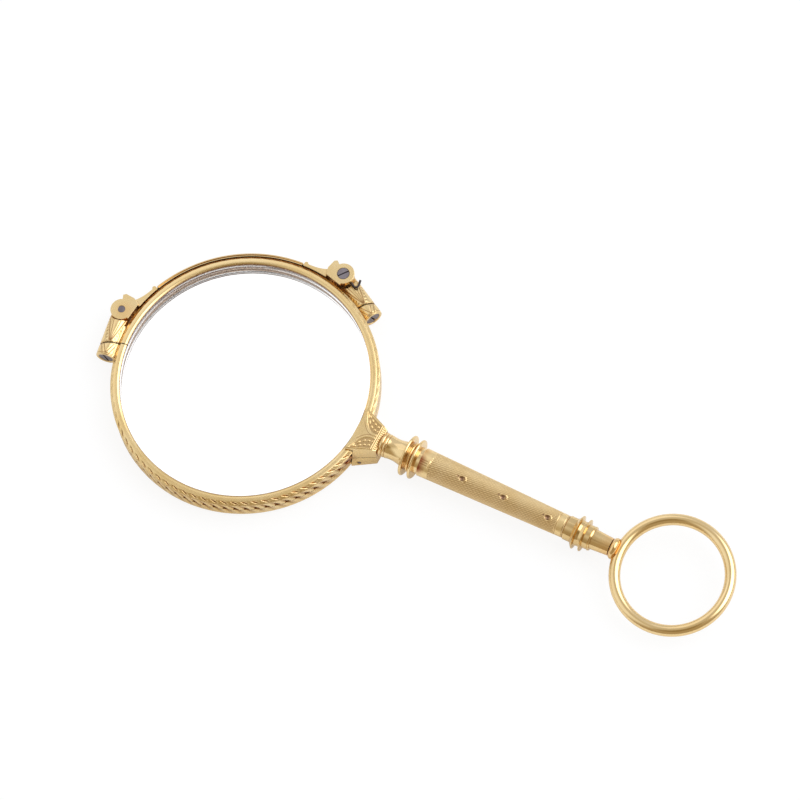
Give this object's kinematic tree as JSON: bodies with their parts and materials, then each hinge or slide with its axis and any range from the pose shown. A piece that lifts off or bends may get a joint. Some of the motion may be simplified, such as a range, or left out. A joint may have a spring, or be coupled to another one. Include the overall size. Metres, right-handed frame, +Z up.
{
  "type": "folding spring lorgnette",
  "caption": "Folding lorgnette: stacked round lens rims swing open sideways from a curved bridge with spring pivots; tubular handle, flanges, sprung catch and a swivelling chain loop.",
  "frame": {"origin": "centre of the bounding box in plan, at the level of the back face that it lies on", "axes": "+X along the handle towards the loop, +Y across the lenses towards the bridge side, +Z up, normal to the lenses, front side up"},
  "size_m": [0.1052, 0.044, 0.0064],
  "materials": {
    "gold_rim": "warm yellow gold, satin face with a chased shoulder",
    "gold_satin": "warm yellow gold, satin with chased leaves",
    "gold_polished": "warm yellow gold, polished",
    "gold_engraved": "warm yellow gold, engine turned with barleycorn rows",
    "screw_steel": "grey steel, slightly worn",
    "spring_steel": "dark spring steel",
    "lens_glass": "clear optical glass"
  },
  "bodies": {
    "front_part": {"front_rim": "gold_rim", "front_lens": "lens_glass", "front_lock_barrel": "gold_satin", "front_lock_knuckle": "gold_satin", "front_lock_screw": "screw_steel", "handle_block": "gold_polished", "neck": "gold_polished", "upper_flanges": "gold_polished", "handle_tube": "gold_engraved", "handle_rod": "screw_steel", "lower_flanges": "gold_polished", "end_ferrule": "gold_polished"},
    "bridge": {"bridge_bar": "gold_polished", "left_head": "gold_satin", "right_head": "gold_satin", "left_pivot_screw": "screw_steel", "right_pivot_screw": "screw_steel", "left_spring": "spring_steel", "right_spring": "spring_steel"},
    "back_part": {"back_rim": "gold_rim", "back_lens": "lens_glass", "back_lock_barrel": "gold_satin", "back_lock_knuckle": "gold_satin", "back_lock_screw": "screw_steel", "catch_lug": "gold_polished", "catch_pin": "screw_steel", "catch_spring": "spring_steel"},
    "lever": {"catch_lever": "spring_steel"},
    "loop": {"swivel_collar": "gold_polished", "swivel_pin": "screw_steel", "loop_ring": "gold_polished"}
  },
  "joints": [
    {"name": "bridge_fold", "type": "hinge", "parent": "front_part", "child": "bridge", "pos_m": [-0.05089, 0.00047, 0.0022], "axis": [0, 0, 1], "range_deg": [0, 88]},
    {"name": "back_rim_fold", "type": "hinge", "parent": "bridge", "child": "back_part", "pos_m": [-0.02305, 0.02033, 0.0022], "axis": [0, 0, 1], "range_deg": [0, 88]},
    {"name": "catch_press", "type": "hinge", "parent": "back_part", "child": "lever", "pos_m": [-0.00748, -0.00157, 0.0008], "axis": [0, -1, 0], "range_deg": [0, 18], "deforming": ["catch_spring"]},
    {"name": "loop_swivel", "type": "hinge", "parent": "front_part", "child": "loop", "pos_m": [0.033, -0.00157, 0.0032], "axis": [1, 0, 0], "continuous": true}
  ],
  "couplings": [
    {"joint": "back_rim_fold", "follows": "bridge_fold", "ratio": 1}
  ]
}
